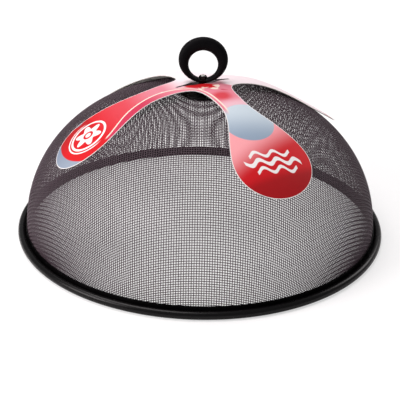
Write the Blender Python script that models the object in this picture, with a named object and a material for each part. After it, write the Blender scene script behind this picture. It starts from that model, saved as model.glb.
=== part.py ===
"""Mesh food cover: a black wire-cloth dome in a rolled steel hoop, with a bolted ring handle
and a four-armed card that is threaded over the ring and turns about its foot.

Metres, +Z up. The origin is the centre of the plane that the hoop rests on, and -Y is the front.
"""
import math

import bmesh
import bpy
from mathutils import Vector
from mathutils.geometry import delaunay_2d_cdt

# Running gap between pieces that touch
seat_gap = 0.0003

# Hoop: one strip of sheet, rolled to a bead, with two legs that grip the edge of the wire cloth
rim_radius = 0.1500
bead_radius = 0.0031
strip_thickness = 0.0005
collar_height = 0.0082
inner_leg_height = 0.0066
groove_width = 0.0004
inner_bend_radius = 0.0010

# Dome of wire cloth, whose fine weave is made as a plain grid of openings between wide strands
cloth_thickness = 0.0008
cloth_edge_height = 0.0013
crown_height = 0.1155
wall_fullness = 2.45
crown_fullness = 1.92
crown_flat_margin = 0.0010
openings_across = 12
strand_width = 0.0065
grip_margin = 0.0030

# Fastening of the handle, an M3 screw from inside with its nut in the finger hole
screw_radius = 0.0015
screw_head_radius = 0.0029
screw_head_height = 0.0022
head_crown_share = 0.25
screw_tip = 0.0008
recess_half_width = 0.0004
recess_reach = 0.0016
recess_depth = 0.0013
nut_half_flats = 0.00275
nut_height = 0.0024
nut_washer_radius = 0.0040
nut_washer_thickness = 0.0008
inner_washer_radius = 0.0150
inner_washer_thickness = 0.0010
edge_chamfer = 0.0003

# Disc between the dome and the handle
disc_radius = 0.0190
disc_thickness = 0.0015
disc_edge_round = 0.0005

# Ring handle, a little wider than high, on a slim neck with a foot plate
ring_half_width = 0.0192
ring_half_height = 0.0181
finger_hole_radius = 0.0114
finger_hole_drop = 0.0038
ring_depth = 0.0080
ring_section_fullness = 2.2
neck_height = 0.0065
neck_radius = 0.0034
foot_plate_radius = 0.0070
foot_plate_height = 0.0015
nut_seat_depth = 0.0015
nut_seat_margin = 0.0004

# Card, measured flat from the handle's axis before it is bent over the dome
card_thickness = 0.0005
card_crown_rise = 0.0078
card_bow_reach = 0.1000
slit_half_length = 0.0220
slit_clearance = 0.0004
slit_sharpness = 3.0
waist_half_width = 0.0108
waist_distance = 0.0400
lobe_distance = 0.1010
wide_lobe_half_width = 0.0335
wide_lobe_reach = 0.1300
slim_lobe_half_width = 0.0260
front_left_reach = 0.1320
back_right_reach = 0.1385
front_notch = 0.0200
right_notch = 0.0230
back_notch = 0.0250
left_notch = 0.0220
notch_pull_share = 0.75
proud_rise = 0.0072
proud_start = 0.0920
proud_narrowing = 4
card_cell = 0.0085

# Directions of the card's arms and of its slit, in degrees from +X
front_right_arm = -57.0
back_right_arm = 31.0
back_left_arm = 124.0
front_left_arm = 204.5
slit_direction = 29.0

# Facets
round_steps = 60
small_round_steps = 32
screw_steps = 20
strand_steps = 3
bead_steps = 12
fold_steps = 4
bend_steps = 3
ring_steps = 40
section_steps = 16
flank_steps = 8
tip_steps = 16
notch_steps = 10
slit_steps = 16
fine_steps = 400

# Sizes that follow from the ones above
bead_centre = rim_radius - bead_radius
collar_radius = bead_centre - bead_radius - groove_width
dome_radius = collar_radius - strip_thickness - seat_gap
inner_leg_radius = dome_radius - cloth_thickness - seat_gap
screw_hole_radius = screw_radius + seat_gap
crown_flat_radius = disc_radius + crown_flat_margin
disc_bottom = crown_height + seat_gap
disc_top = disc_bottom + disc_thickness
foot_bottom = disc_top + seat_gap
ring_bottom = foot_bottom + neck_height
ring_centre = ring_bottom + ring_half_height
finger_hole_centre = ring_centre - finger_hole_drop
nut_seat = finger_hole_centre - finger_hole_radius - nut_seat_depth
nut_washer_bottom = nut_seat + seat_gap
nut_bottom = nut_washer_bottom + nut_washer_thickness + seat_gap
nut_top = nut_bottom + nut_height
inner_washer_top = crown_height - cloth_thickness - seat_gap
inner_washer_bottom = inner_washer_top - inner_washer_thickness
screw_seat = inner_washer_bottom - seat_gap


def clear_scene():
    for item in list(bpy.data.objects):
        bpy.data.objects.remove(item, do_unlink=True)


def finish_material(name, colour, roughness, metallic):
    material = bpy.data.materials.new(name)
    material.use_nodes = True
    shader = material.node_tree.nodes["Principled BSDF"]
    shader.inputs["Base Color"].default_value = (*colour, 1.0)
    shader.inputs["Roughness"].default_value = roughness
    shader.inputs["Metallic"].default_value = metallic
    material.diffuse_color = (*colour, 1.0)
    return material


def add_piece(name, bm, material):
    """Put a bmesh in the scene as one named piece with its finish."""
    bmesh.ops.recalc_face_normals(bm, faces=bm.faces)
    mesh = bpy.data.meshes.new(name)
    bm.to_mesh(mesh)
    bm.free()
    mesh.shade_smooth()
    mesh.set_sharp_from_angle(angle=math.radians(35))
    piece = bpy.data.objects.new(name, mesh)
    bpy.context.collection.objects.link(piece)
    piece.data.materials.append(material)
    return piece


def turned(outline, steps):
    """Turn an outline of (radius, height) points about the Z axis into a closed solid."""
    bm = bmesh.new()
    corners = [bm.verts.new((radius, 0.0, height)) for radius, height in outline]
    edges = [bm.edges.new((a, b)) for a, b in zip(corners, corners[1:] + corners[:1])
             if a.co.x > 0 or b.co.x > 0]
    bmesh.ops.spin(bm, geom=corners + edges, cent=(0, 0, 0), axis=(0, 0, 1),
                   angle=math.tau, steps=steps, use_merge=True)
    smallest = min(seat_gap, edge_chamfer)
    bmesh.ops.remove_doubles(bm, verts=bm.verts, dist=smallest / fine_steps)
    return bm


def cut(piece, cutter, operation="DIFFERENCE"):
    """Add a boolean with a helper object that is left out of the model."""
    cutter.hide_render = True
    cutter.display_type = "WIRE"
    change = piece.modifiers.new(operation.lower(), "BOOLEAN")
    change.operation = operation
    change.object = cutter
    change.solver = "EXACT"


def arc(centre_r, centre_z, radius, start, end, steps):
    """Points on an arc, angles in degrees from +R towards +Z."""
    points = []
    for step in range(steps + 1):
        angle = math.radians(start + (end - start) * step / steps)
        points.append((centre_r + radius * math.cos(angle), centre_z + radius * math.sin(angle)))
    return points


def thicken(path, thickness):
    """Close an open path into an outline of even thickness."""
    left, right = [], []
    for index, (r, z) in enumerate(path):
        before = path[max(index - 1, 0)]
        after = path[min(index + 1, len(path) - 1)]
        along = Vector((after[0] - before[0], after[1] - before[1])).normalized()
        side = Vector((-along.y, along.x)) * thickness / 2
        left.append((r + side.x, z + side.y))
        right.append((r - side.x, z - side.y))
    return left + right[::-1]


def hoop_outline():
    """Section of the hoop: outer leg, fold, bead, flat bottom, inner leg."""
    middle = strip_thickness / 2
    bead_line = bead_radius - middle
    fold_radius = (groove_width + strip_thickness) / 2
    collar_line = collar_radius - middle
    leg_line = inner_leg_radius - middle
    path = [(collar_line, collar_height)]
    path += arc(collar_line + fold_radius, bead_radius, fold_radius, 180, 360, fold_steps)
    path += arc(bead_centre, bead_radius, bead_line, 180, -90, bead_steps)[1:]
    path += arc(leg_line + inner_bend_radius, middle + inner_bend_radius, inner_bend_radius,
                270, 180, bend_steps)
    path.append((leg_line, inner_leg_height))
    return thicken(path, strip_thickness)


def dome_curve():
    """Dense (radius, height) points of the cloth's outer face, from the flat crown to the collar."""
    flat_share = crown_flat_radius / dome_radius
    height_share = (1 - flat_share ** wall_fullness) ** (1 / crown_fullness)
    rise = (crown_height - collar_height) / height_share
    last_angle = math.asin(height_share ** (crown_fullness / 2))
    points = []
    for step in range(fine_steps + 1):
        angle = last_angle * (1 - step / fine_steps)
        points.append((dome_radius * math.cos(angle) ** (2 / wall_fullness),
                       collar_height + rise * math.sin(angle) ** (2 / crown_fullness)))
    return points


def lengths_along(points):
    total, lengths = 0.0, [0.0]
    for (r0, z0), (r1, z1) in zip(points, points[1:]):
        total += math.hypot(r1 - r0, z1 - z0)
        lengths.append(total)
    return lengths


class Meridian:
    """The line from the handle's axis over the crown and down the cloth's outer face."""

    def __init__(self):
        skirt = [(dome_radius, cloth_edge_height)]
        self.points = [(0.0, crown_height)] + dome_curve() + skirt
        self.lengths = lengths_along(self.points)

    def at(self, distance):
        """Point and outward normal at a distance from the axis, as (r, z), (nr, nz)."""
        low, high = 0, len(self.points) - 1
        while high - low > 1:
            middle = (low + high) // 2
            if self.lengths[middle] <= distance:
                low = middle
            else:
                high = middle
        (r0, z0), (r1, z1) = self.points[low], self.points[high]
        span = self.lengths[high] - self.lengths[low]
        share = (distance - self.lengths[low]) / span
        return (r0 + (r1 - r0) * share, z0 + (z1 - z0) * share), (-(z1 - z0) / span, (r1 - r0) / span)


def circle(radius, steps):
    return [(radius * math.cos(math.tau * step / steps), radius * math.sin(math.tau * step / steps))
            for step in range(steps)]


def cloth_opening(column, row, pitch, reach):
    """Flat outline of one opening, drawn in where it would run under the disc or into the hoop."""
    left, bottom = column * pitch + strand_width / 2, row * pitch + strand_width / 2
    right, top = left + pitch - strand_width, bottom + pitch - strand_width
    corners = [Vector(spot) for spot in ((left, bottom), (right, bottom), (right, top), (left, top))]
    points = []
    for start, end in zip(corners, corners[1:] + corners[:1]):
        for step in range(strand_steps):
            spot = start.lerp(end, step / strand_steps)
            length = min(max(spot.length, crown_flat_radius), reach)
            points.append(tuple(spot.normalized() * length))
    return points


def cloth_openings(reach):
    """All openings by column and row, from strands that cross at the axis."""
    pitch = (2 * reach + strand_width) / openings_across
    count = openings_across // 2
    openings = {}
    for column in range(-count, count):
        for row in range(-count, count):
            if math.hypot(column + 1 / 2, row + 1 / 2) * pitch < reach:
                openings[column, row] = cloth_opening(column, row, pitch, reach)
    return openings, pitch


def cloth_cells(edge, grip):
    """Flat triangles of the cloth: closed at the crown and in the hoop, with openings between."""
    openings, pitch = cloth_openings(grip - grip_margin)
    hole = circle(screw_hole_radius, screw_steps)
    points, edges = [], []
    for loop in (hole, circle(grip, round_steps), circle(edge, round_steps), *openings.values()):
        first = len(points)
        points += [Vector(spot) for spot in loop]
        edges += [(first + index, first + (index + 1) % len(loop)) for index in range(len(loop))]
    for spot in circle(grip - grip_margin, round_steps):
        if min(nearest_edge(spot, loop) for loop in openings.values()) > strand_width / 2:
            points.append(Vector(spot))
    spots, _, faces, *_ = delaunay_2d_cdt(points, edges, [], 0, seat_gap / fine_steps)
    kept = []
    for face in faces:
        middle = sum((spots[index] for index in face), Vector((0, 0))) / len(face)
        opening = openings.get((math.floor(middle.x / pitch), math.floor(middle.y / pitch)))
        if not inside(middle, hole) and not (opening and inside(middle, opening)):
            kept.append(face)
    return spots, kept


def plate_outline(hole_radius, radius, bottom, top, edge_round):
    """Flat ring with rounded outer edges."""
    return [(hole_radius, bottom), (radius - edge_round, bottom), (radius, bottom + edge_round),
            (radius, top - edge_round), (radius - edge_round, top), (hole_radius, top)]


def make_hoop(paint):
    return add_piece("rim_hoop", turned(hoop_outline(), round_steps), paint)


def make_dome(meridian, paint):
    """The flat cloth pressed to the dome: distances from the axis are kept along its outer face."""
    spots, faces = cloth_cells(meridian.lengths[-1], meridian.lengths[-2])
    bm = bmesh.new()
    outer, inner = [], []
    for spot in spots:
        (r, z), (nr, nz) = meridian.at(spot.length)
        for corners, depth in ((outer, 0.0), (inner, cloth_thickness)):
            corners.append(bm.verts.new((*spot.normalized() * (r - depth * nr), z - depth * nz)))
    sides = {(a, b) for face in faces for a, b in zip(face, face[1:] + face[:1])}
    for face in faces:
        bm.faces.new([outer[index] for index in face])
        bm.faces.new([inner[index] for index in reversed(face)])
    for a, b in sides:
        if (b, a) not in sides:
            bm.faces.new((outer[b], outer[a], inner[a], inner[b]))
    loose = [corner for corner in bm.verts if not corner.link_faces]
    bmesh.ops.delete(bm, geom=loose, context="VERTS")
    return add_piece("mesh_dome", bm, paint)


def make_top_disc(paint):
    outline = plate_outline(screw_hole_radius, disc_radius, disc_bottom, disc_top, disc_edge_round)
    return add_piece("top_disc", turned(outline, small_round_steps), paint)


def make_inner_washer(paint):
    outline = plate_outline(screw_hole_radius, inner_washer_radius, inner_washer_bottom,
                            inner_washer_top, edge_chamfer)
    return add_piece("inner_washer", turned(outline, small_round_steps), paint)


def make_nut_washer(paint):
    outline = plate_outline(screw_hole_radius, nut_washer_radius, nut_washer_bottom,
                            nut_washer_bottom + nut_washer_thickness, edge_chamfer)
    return add_piece("nut_washer", turned(outline, screw_steps), paint)


def make_screw(zinc):
    """Pan-head screw that stands head down, with a cross recess in its head."""
    head_bottom = screw_seat - screw_head_height
    crown_drop = screw_head_height * head_crown_share
    outline = [(0.0, head_bottom), (screw_head_radius - 2 * crown_drop, head_bottom),
               (screw_head_radius, head_bottom + crown_drop), (screw_head_radius, screw_seat),
               (screw_radius, screw_seat), (screw_radius, nut_top + screw_tip - edge_chamfer),
               (screw_radius - edge_chamfer, nut_top + screw_tip), (0.0, nut_top + screw_tip)]
    screw = add_piece("handle_screw", turned(outline, screw_steps), zinc)
    for index, half in enumerate(((recess_reach, recess_half_width),
                                  (recess_half_width, recess_reach))):
        bm = bmesh.new()
        bmesh.ops.create_cube(bm, size=1.0)
        bmesh.ops.scale(bm, vec=(2 * half[0], 2 * half[1], 2 * recess_depth), verts=bm.verts)
        bmesh.ops.translate(bm, vec=(0, 0, head_bottom), verts=bm.verts)
        cut(screw, add_piece(f"recess_cutter_{index}", bm, zinc))
    return screw


def make_nut(paint):
    """Hexagon nut with chamfered corners."""
    corner_radius = nut_half_flats / math.cos(math.pi / 6)
    bm = bmesh.new()
    hexagon = [bm.verts.new((corner_radius * math.cos(math.pi * side / 3),
                             corner_radius * math.sin(math.pi * side / 3), nut_bottom))
               for side in range(6)]
    face = bm.faces.new(hexagon)
    grown = bmesh.ops.extrude_face_region(bm, geom=[face])
    lifted = [item for item in grown["geom"] if isinstance(item, bmesh.types.BMVert)]
    bmesh.ops.translate(bm, vec=(0, 0, nut_height), verts=lifted)
    nut = add_piece("handle_nut", bm, paint)
    chamfer = corner_radius - nut_half_flats
    cone = [(screw_hole_radius, nut_bottom - chamfer), (corner_radius + chamfer, nut_bottom - chamfer),
            (corner_radius + chamfer, nut_top - 2 * chamfer), (nut_half_flats, nut_top),
            (screw_hole_radius, nut_top)]
    cut(nut, add_piece("nut_cone", turned(cone, small_round_steps), paint), "INTERSECT")
    return nut


def ring_section(angle):
    """Middle and outward half vector of the ring's section at an angle."""
    across, up = math.cos(angle), math.sin(angle)
    outer = Vector((ring_half_width * across, 0, ring_centre + ring_half_height * up))
    inner = Vector((finger_hole_radius * across, 0, finger_hole_centre + finger_hole_radius * up))
    return (outer + inner) / 2, (outer - inner) / 2


def rounded_share(angle, fullness):
    """Point of a full-cornered oval of half size 1."""
    across, up = math.cos(angle), math.sin(angle)
    return (math.copysign(abs(across) ** (2 / fullness), across),
            math.copysign(abs(up) ** (2 / fullness), up))


def make_ring(plastic):
    """Eccentric ring with a neck and foot plate, a nut seat in its finger hole and a screw hole."""
    bm = bmesh.new()
    loops = []
    for step in range(ring_steps):
        middle, reach = ring_section(math.tau * step / ring_steps)
        loop = []
        for side in range(section_steps):
            across, up = rounded_share(math.tau * side / section_steps, ring_section_fullness)
            spot = middle + reach * across + Vector((0, ring_depth / 2 * up, 0))
            loop.append(bm.verts.new(spot))
        loops.append(loop)
    for loop, following in zip(loops, loops[1:] + loops[:1]):
        for side in range(section_steps):
            other = (side + 1) % section_steps
            bm.faces.new((loop[side], loop[other], following[other], following[side]))
    ring = add_piece("handle_ring", bm, plastic)

    wall_middle = (ring_bottom + nut_seat) / 2
    foot = [(0.0, foot_bottom), (foot_plate_radius, foot_bottom),
            (foot_plate_radius, foot_bottom + foot_plate_height - edge_chamfer),
            (foot_plate_radius - edge_chamfer, foot_bottom + foot_plate_height),
            (neck_radius, foot_bottom + foot_plate_height), (neck_radius, wall_middle),
            (0.0, wall_middle)]
    cut(ring, add_piece("foot_form", turned(foot, small_round_steps), plastic), "UNION")

    seat_radius = nut_washer_radius + nut_seat_margin
    seat = [(0.0, nut_seat), (seat_radius, nut_seat), (seat_radius, nut_top), (0.0, nut_top)]
    cut(ring, add_piece("seat_cutter", turned(seat, small_round_steps), plastic))

    hole = [(0.0, disc_bottom), (screw_hole_radius, disc_bottom), (screw_hole_radius, nut_top),
            (0.0, nut_top)]
    cut(ring, add_piece("screw_hole_cutter", turned(hole, screw_steps), plastic))
    return ring


def smooth(share):
    share = min(max(share, 0.0), 1.0)
    return share * share * (3 - 2 * share)


def turned_point(distance, offset, degrees):
    """Flat point at a distance along a direction and an offset to its left."""
    angle = math.radians(degrees)
    return (distance * math.cos(angle) - offset * math.sin(angle),
            distance * math.sin(angle) + offset * math.cos(angle))


def lobe_points(direction, half_width, reach):
    """Right flank, round end and left flank of one arm, from waist to waist."""
    flank = []
    for step in range(flank_steps):
        share = step / flank_steps
        distance = waist_distance + (lobe_distance - waist_distance) * share
        flank.append((distance, waist_half_width + (half_width - waist_half_width) * smooth(share)))
    points = [turned_point(distance, -width, direction) for distance, width in flank]
    for step in range(tip_steps + 1):
        angle = -math.pi / 2 + math.pi * step / tip_steps
        points.append(turned_point(lobe_distance + (reach - lobe_distance) * math.cos(angle),
                                   half_width * math.sin(angle), direction))
    points += [turned_point(distance, width, direction) for distance, width in reversed(flank)]
    return points


def notch_points(first, second, nearest):
    """Curve from the left of one waist to the right of the next, with its nearest point to the axis."""
    half_turn = math.radians(second - first) / 2
    opening = waist_distance * math.cos(half_turn) + waist_half_width * math.sin(half_turn)
    pull = (opening - nearest) / (math.cos(half_turn) * notch_pull_share)
    ends = (Vector(turned_point(waist_distance, waist_half_width, first)),
            Vector(turned_point(waist_distance - pull, waist_half_width, first)),
            Vector(turned_point(waist_distance - pull, -waist_half_width, second)),
            Vector(turned_point(waist_distance, -waist_half_width, second)))
    points = []
    for step in range(1, notch_steps):
        t = step / notch_steps
        shares = ((1 - t) ** 3, 3 * t * (1 - t) ** 2, 3 * t * t * (1 - t), t ** 3)
        points.append(tuple(sum((end * share for end, share in zip(ends, shares)), Vector((0, 0)))))
    return points


def card_outline():
    arms = ((front_right_arm, wide_lobe_half_width, wide_lobe_reach, right_notch),
            (back_right_arm, slim_lobe_half_width, back_right_reach, back_notch),
            (back_left_arm, wide_lobe_half_width, wide_lobe_reach, left_notch),
            (front_left_arm, slim_lobe_half_width, front_left_reach, front_notch))
    directions = [arm[0] for arm in arms] + [front_right_arm + 360]
    points = []
    for (direction, half_width, reach, notch), following in zip(arms, directions[1:]):
        points += lobe_points(direction, half_width, reach)
        points += notch_points(direction, following, notch)
    return points


def slit_outline():
    """The slit is spread by the handle's neck in its middle and closes to a point at both ends."""
    half_width = neck_radius + slit_clearance
    side = []
    for step in range(slit_steps):
        share = 2 * step / slit_steps - 1
        side.append((slit_half_length * share, half_width * (1 - share * share) ** slit_sharpness))
    loop = [(along, -width) for along, width in side] + [(-along, width) for along, width in side]
    return [turned_point(along, width, slit_direction) for along, width in loop]


def inside(point, loop):
    """Whether a flat point lies inside a closed loop."""
    x, y = point
    found = False
    for (x0, y0), (x1, y1) in zip(loop, loop[1:] + loop[:1]):
        if (y0 > y) != (y1 > y) and x < x0 + (x1 - x0) * (y - y0) / (y1 - y0):
            found = not found
    return found


def nearest_edge(point, loop):
    """Distance from a flat point to a closed loop."""
    spot = Vector(point)
    best = None
    for start, end in zip(loop, loop[1:] + loop[:1]):
        a, b = Vector(start), Vector(end)
        share = min(max((spot - a).dot(b - a) / (b - a).length_squared, 0.0), 1.0)
        distance = (spot - a.lerp(b, share)).length
        best = distance if best is None else min(best, distance)
    return best


def card_cells(outline, slit):
    """Flat triangles of the card: its edge, its slit and a grid of points between them."""
    reach = max(wide_lobe_reach, front_left_reach, back_right_reach)
    count = int(reach / card_cell) + 1
    grid = []
    for row in range(-count, count + 1):
        for column in range(-count, count + 1):
            spot = ((column + (row % 2) / 2) * card_cell, row * card_cell * math.sqrt(3) / 2)
            if inside(spot, outline) and not inside(spot, slit):
                if min(nearest_edge(spot, outline), nearest_edge(spot, slit)) > card_cell / 2:
                    grid.append(spot)
    points = [Vector(spot) for spot in outline + slit + grid]
    turns = len(outline)
    edges = [(index, (index + 1) % turns) for index in range(turns)]
    holes = len(slit)
    edges += [(turns + index, turns + (index + 1) % holes) for index in range(holes)]
    spots, _, faces, *_ = delaunay_2d_cdt(points, edges, [], 0, seat_gap / fine_steps)
    kept = []
    for face in faces:
        middle = sum((spots[index] for index in face), Vector((0, 0))) / len(face)
        if inside(middle, outline) and not inside(middle, slit):
            kept.append(face)
    return spots, kept


def card_stand_off(distance, direction):
    """Gap under the card, which bows up over the handle's foot and lifts at the back right arm's end."""
    bow = max(1 - (distance / card_bow_reach) ** 2, 0.0) ** 2
    turn = max(math.cos(direction - math.radians(back_right_arm)), 0.0) ** proud_narrowing
    tip = (max(distance - proud_start, 0.0) / (back_right_reach - proud_start)) ** 2
    return seat_gap + card_crown_rise * bow + proud_rise * tip * turn


def make_card(meridian, board):
    """The flat card bent over the dome: distances from the axis are kept along the cloth."""
    spots, faces = card_cells(card_outline(), slit_outline())
    bm = bmesh.new()
    corners = []
    for spot in spots:
        distance, direction = spot.length, math.atan2(spot.y, spot.x)
        (r, z), (nr, nz) = meridian.at(distance)
        rise = card_stand_off(distance, direction)
        radius = r + nr * rise
        corners.append(bm.verts.new((radius * math.cos(direction), radius * math.sin(direction),
                                     z + nz * rise)))
    for face in faces:
        bm.faces.new([corners[index] for index in face])
    loose = [corner for corner in bm.verts if not corner.link_faces]
    bmesh.ops.delete(bm, geom=loose, context="VERTS")
    bm.normal_update()
    if sum(face.normal.z for face in bm.faces) < 0:
        bmesh.ops.reverse_faces(bm, faces=bm.faces)
    mesh = bpy.data.meshes.new("label_card")
    bm.to_mesh(mesh)
    bm.free()
    card = bpy.data.objects.new("label_card", mesh)
    bpy.context.collection.objects.link(card)
    card.data.materials.append(board)
    sheet = card.modifiers.new("board", "SOLIDIFY")
    sheet.thickness = card_thickness
    sheet.offset = 1.0
    sheet.use_even_offset = True
    return card


def main():
    clear_scene()
    black_paint = finish_material("black_paint", (0.012, 0.012, 0.014), 0.30, 0.0)
    wire_paint = finish_material("wire_paint", (0.020, 0.017, 0.020), 0.45, 0.0)
    black_plastic = finish_material("black_plastic", (0.010, 0.010, 0.012), 0.40, 0.0)
    zinc_plate = finish_material("zinc_plate", (0.62, 0.62, 0.60), 0.35, 1.0)
    printed_board = finish_material("printed_board", (0.68, 0.07, 0.09), 0.35, 0.0)

    meridian = Meridian()
    make_hoop(black_paint)
    make_dome(meridian, wire_paint)
    make_inner_washer(black_paint)
    make_screw(zinc_plate)
    make_top_disc(black_paint)
    make_ring(black_plastic)
    make_nut_washer(black_paint)
    make_nut(black_paint)
    make_card(meridian, printed_board)


main()
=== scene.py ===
"""Looks of the mesh food cover: woven wire cloth in a rolled hoop, a bolted ring handle and a printed card.

Metres in the part's own frame: +Z up, -Y the front, the origin under the handle on the table.
"""

import math

import bmesh
import bpy
import numpy as np
from mathutils import Matrix, Vector
from mathutils.geometry import delaunay_2d_cdt


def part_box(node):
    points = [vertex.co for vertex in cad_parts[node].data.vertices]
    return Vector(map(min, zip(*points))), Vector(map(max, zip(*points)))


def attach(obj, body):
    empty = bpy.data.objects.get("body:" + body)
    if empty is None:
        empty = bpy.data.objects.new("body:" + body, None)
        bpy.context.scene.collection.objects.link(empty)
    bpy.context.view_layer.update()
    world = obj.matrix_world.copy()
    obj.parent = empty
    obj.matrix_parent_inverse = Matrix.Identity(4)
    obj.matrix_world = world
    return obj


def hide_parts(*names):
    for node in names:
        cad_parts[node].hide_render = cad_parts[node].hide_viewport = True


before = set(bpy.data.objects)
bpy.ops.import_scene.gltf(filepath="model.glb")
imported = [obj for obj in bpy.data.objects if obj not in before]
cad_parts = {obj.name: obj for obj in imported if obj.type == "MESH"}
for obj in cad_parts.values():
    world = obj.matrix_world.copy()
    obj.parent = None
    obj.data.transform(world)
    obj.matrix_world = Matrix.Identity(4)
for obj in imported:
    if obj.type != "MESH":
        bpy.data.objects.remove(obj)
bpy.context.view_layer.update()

mm = 0.001
near_axis = 0.01 * mm
usual_crease = 35.0

# Sizes shared with the part
_, hoop_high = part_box("rim_hoop")
_, dome_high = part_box("mesh_dome")
disc_low, disc_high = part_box("top_disc")
washer_low, washer_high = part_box("inner_washer")
screw_low, screw_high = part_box("handle_screw")
_, ring_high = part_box("handle_ring")
nut_washer_low, nut_washer_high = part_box("nut_washer")
nut_low, nut_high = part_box("handle_nut")

seat_gap = 0.3 * mm
rim_radius = hoop_high.x
bead_radius = 3.1 * mm
hoop_steps = 256
strip_thickness = 0.5 * mm
collar_height = hoop_high.z
inner_leg_height = 6.6 * mm
groove_width = 0.4 * mm
inner_bend_radius = 1.0 * mm
bead_centre = rim_radius - bead_radius
collar_radius = bead_centre - bead_radius - groove_width

dome_radius = dome_high.x
crown_height = dome_high.z
cloth_thickness = 0.8 * mm
inner_leg_radius = dome_radius - cloth_thickness - seat_gap
wall_fullness = 2.45
crown_fullness = 1.92
crown_flat_radius = disc_high.x + 1.0 * mm
skirt_drop = 60 * mm
meridian_steps, solver_rounds = 2000, 8

wire_pitch = 1.81 * mm
wire_weave_rise = 0.12 * mm
wire_half_width = 0.25 * mm
wire_half_height = 0.13 * mm
cloth_end_height = 2.0 * mm
screw_clearance = 2.2 * mm

screw_radius = 1.5 * mm
screw_hole_radius = screw_radius + seat_gap
screw_head_height = 2.2 * mm
thread_pitch = 0.5 * mm
thread_depth = 0.25 * mm
recess_half_width = 0.4 * mm
recess_reach = 1.6 * mm
recess_depth = 1.3 * mm
head_rounding = 0.4
nut_half_flats = 2.75 * mm
nut_chamfer_share = 0.7
nut_countersink = 0.35 * mm

ring_half_width = ring_high.x
finger_hole_radius = 11.4 * mm
finger_hole_drop = 3.8 * mm
ring_depth = 8.0 * mm
ring_half_height = 18.1 * mm
ring_section_fullness = 2.2
ring_centre = ring_high.z - ring_half_height
finger_hole_centre = ring_centre - finger_hole_drop
ring_bottom = ring_centre - ring_half_height
foot_bottom = disc_high.z + seat_gap
foot_plate_radius = 7.0 * mm
foot_plate_height = 1.5 * mm
foot_edge_radius = 0.4 * mm
foot_root_radius = 0.8 * mm
neck_radius = 3.4 * mm
nut_seat = nut_washer_low.z - seat_gap
nut_seat_radius = nut_washer_high.x + 0.4 * mm
round_steps, bore_steps = 96, 48

card_thickness = 0.5 * mm
card_crown_rise = 7.8 * mm
card_bow_reach = 100 * mm
slit_half_length = 22 * mm
slit_half_width = neck_radius + 0.4 * mm
slit_sharpness = 3.0
waist_half_width = 10.8 * mm
waist_distance = 40 * mm
lobe_distance = 101 * mm
wide_lobe = (33.5 * mm, 130 * mm)
front_left_lobe = (26.0 * mm, 132 * mm)
back_right_lobe = (26.0 * mm, 138.5 * mm)
front_notch, right_notch, back_notch, left_notch = 20 * mm, 23 * mm, 25 * mm, 22 * mm
proud_rise = 7.2 * mm
proud_start = 92 * mm
proud_narrowing = 4
card_cell = 4.0 * mm
same_point = 1e-7
flank_steps, lobe_steps, notch_steps = 24, 48, 32
slit_steps = 40
# The slit's cut faces this near the middle take the print, whose dark line paints shade on them
slit_shade_reach = slit_half_length + 1.0 * mm
front_right_arm, back_right_arm, back_left_arm, front_left_arm = -57.0, 31.0, 124.0, 204.5
slit_direction = 29.0


# Shapes


def placed(name, data):
    """New object in the scene."""
    item = bpy.data.objects.new(name, data)
    bpy.context.collection.objects.link(item)
    return item


def new_piece(name, mesh, node, finishes, body="cover"):
    """Put a mesh in the scene as a piece that rides on a body and stands for a node of the part."""
    piece = placed(name, mesh)
    for finish in finishes:
        mesh.materials.append(finish)
    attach(piece, body)
    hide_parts(node)


def shaded(mesh, crease=usual_crease):
    """Smooth shading, with creases where faces meet at more than an angle in degrees."""
    mesh.shade_smooth()
    mesh.set_sharp_from_angle(angle=math.radians(crease))
    return mesh


def mesh_from(name, points, faces, crease=usual_crease):
    """Mesh of points and faces, with every face turned outward."""
    mesh = bpy.data.meshes.new(name)
    mesh.from_pydata([tuple(point) for point in points], [], [tuple(face) for face in faces])
    bm = bmesh.new()
    bm.from_mesh(mesh)
    bmesh.ops.recalc_face_normals(bm, faces=bm.faces)
    bm.to_mesh(mesh)
    bm.free()
    return shaded(mesh, crease)


def loop_faces(loops, size, around=True, closed=True):
    """Four-sided faces between neighbouring loops of points.

    Around joins the last loop to the first one, and closed joins each loop's own ends.
    """
    faces = []
    for loop in range(loops if around else loops - 1):
        here, there = loop * size, (loop + 1) % loops * size
        for side in range(size if closed else size - 1):
            other = (side + 1) % size
            faces.append((here + side, here + other, there + other, there + side))
    return faces


def turned(name, outline, steps, closed=False):
    """Turn (radius, height) points about the Z axis: a closed loop, or a line capped at both ends."""
    count = len(outline)
    angles = np.arange(steps) * math.tau / steps
    radius, height = np.array(outline).T
    points = np.stack([np.outer(np.cos(angles), radius), np.outer(np.sin(angles), radius),
                       np.outer(np.ones(steps), height)], -1).reshape(-1, 3)
    faces = loop_faces(steps, count, closed=closed)
    if not closed:
        faces.append([step * count for step in range(steps)])
        faces.append([step * count + count - 1 for step in reversed(range(steps))])
    return mesh_from(name, points, faces)


def arc(centre_r, centre_z, radius, start, end, steps):
    """Points on an arc, angles in degrees from +R towards +Z."""
    angles = np.radians(np.linspace(start, end, steps + 1))
    return [(centre_r + radius * math.cos(angle), centre_z + radius * math.sin(angle))
            for angle in angles]


def thicken(path, thickness):
    """Close an open path into an outline of even thickness with rounded ends."""
    spots = np.array(path)
    along = np.gradient(spots, axis=0)
    along /= np.linalg.norm(along, axis=1)[:, None]
    side = np.stack([-along[:, 1], along[:, 0]], -1) * thickness / 2
    return [tuple(spot) for spot in spots + side] + [tuple(spot) for spot in (spots - side)[::-1]]


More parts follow.
